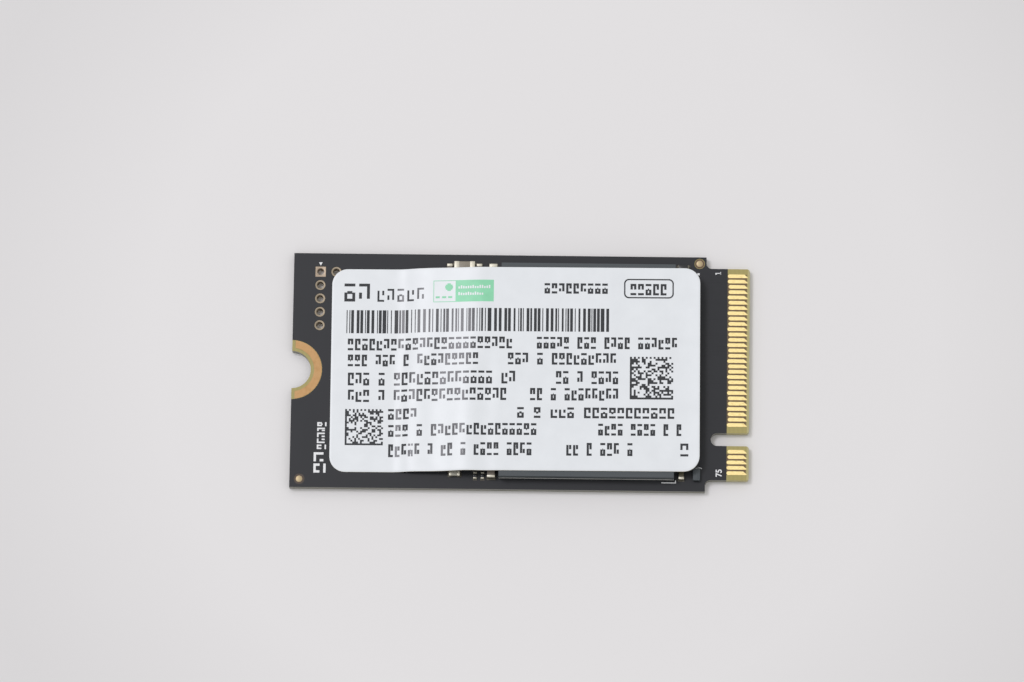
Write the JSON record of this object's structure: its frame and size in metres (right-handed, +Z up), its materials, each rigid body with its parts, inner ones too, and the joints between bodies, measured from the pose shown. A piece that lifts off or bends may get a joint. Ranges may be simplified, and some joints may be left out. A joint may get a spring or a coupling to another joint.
{
  "type": "gumstick solid state drive",
  "caption": "Flat printed circuit card with a keyed gold edge connector, a half-round screw notch, a moulded storage package and a white label film over it.",
  "frame": {"origin": "centre of the card's underside", "axes": "+X along the card towards the contact fingers, +Y across it towards contact 1, +Z up from the underside through the label"},
  "size_m": [0.042, 0.022, 0.0023],
  "materials": {
    "laminate": "glass-epoxy laminate, resin glossy",
    "solder_mask": "black solder mask, satin",
    "contact_gold": "hard gold plate, bright",
    "copper_land": "thin gold over copper, satin",
    "tin_solder": "reflowed tin solder, bright",
    "package_mould": "moulded epoxy, matte",
    "package_substrate": "thin laminate with mask",
    "ceramic_body": "fired ceramic with tin ends",
    "resistor_body": "black glaze with tin ends",
    "chip_mould": "moulded epoxy, matte",
    "ferrite": "pressed ferrite powder",
    "crystal_lid": "plated metal lid",
    "label_film": "white printed polyester film"
  },
  "bodies": {
    "root": {"alignment_dot_1": "copper_land", "alignment_dot_2": "copper_land", "board_laminate": "laminate", "bulk_capacitor_1": "ceramic_body", "bulk_capacitor_2": "ceramic_body", "chip_solder": "tin_solder", "clamp_diode": "chip_mould", "component_lands": "tin_solder", "contact_fingers_bottom": "contact_gold", "contact_fingers_top": "contact_gold", "coupling_capacitors": "ceramic_body", "crystal": "crystal_lid", "decoupling_capacitor_1": "ceramic_body", "decoupling_capacitor_2": "ceramic_body", "decoupling_capacitor_3": "ceramic_body", "decoupling_capacitor_4": "ceramic_body", "decoupling_capacitor_5": "ceramic_body", "decoupling_capacitor_6": "ceramic_body", "end_capacitor": "ceramic_body", "feedback_resistor_1": "resistor_body", "feedback_resistor_2": "resistor_body", "header_eyelet_1": "copper_land", "header_eyelet_2": "copper_land", "header_eyelet_3": "copper_land", "header_eyelet_4": "copper_land", "header_eyelet_5": "copper_land", "header_eyelet_6": "copper_land", "label_film": "label_film", "load_switch_chip": "chip_mould", "lower_bulk_capacitor": "ceramic_body", "lower_filter_capacitor": "ceramic_body", "lower_resistor_1": "resistor_body", "lower_resistor_2": "resistor_body", "package_balls": "tin_solder", "package_mould": "package_mould", "package_substrate": "package_substrate", "power_chip": "chip_mould", "power_inductor_1": "ferrite", "power_inductor_2": "ferrite", "power_inductor_3": "ferrite", "screw_land_bottom": "copper_land", "screw_land_top": "copper_land", "serial_memory_chip": "chip_mould", "solder_mask_bottom": "solder_mask", "solder_mask_top": "solder_mask", "strap_resistor": "resistor_body", "test_pads": "copper_land", "upper_bulk_capacitor": "ceramic_body", "upper_filter_capacitor_1": "ceramic_body", "upper_filter_capacitor_2": "ceramic_body", "upper_filter_capacitor_3": "ceramic_body"}
  },
  "joints": []
}
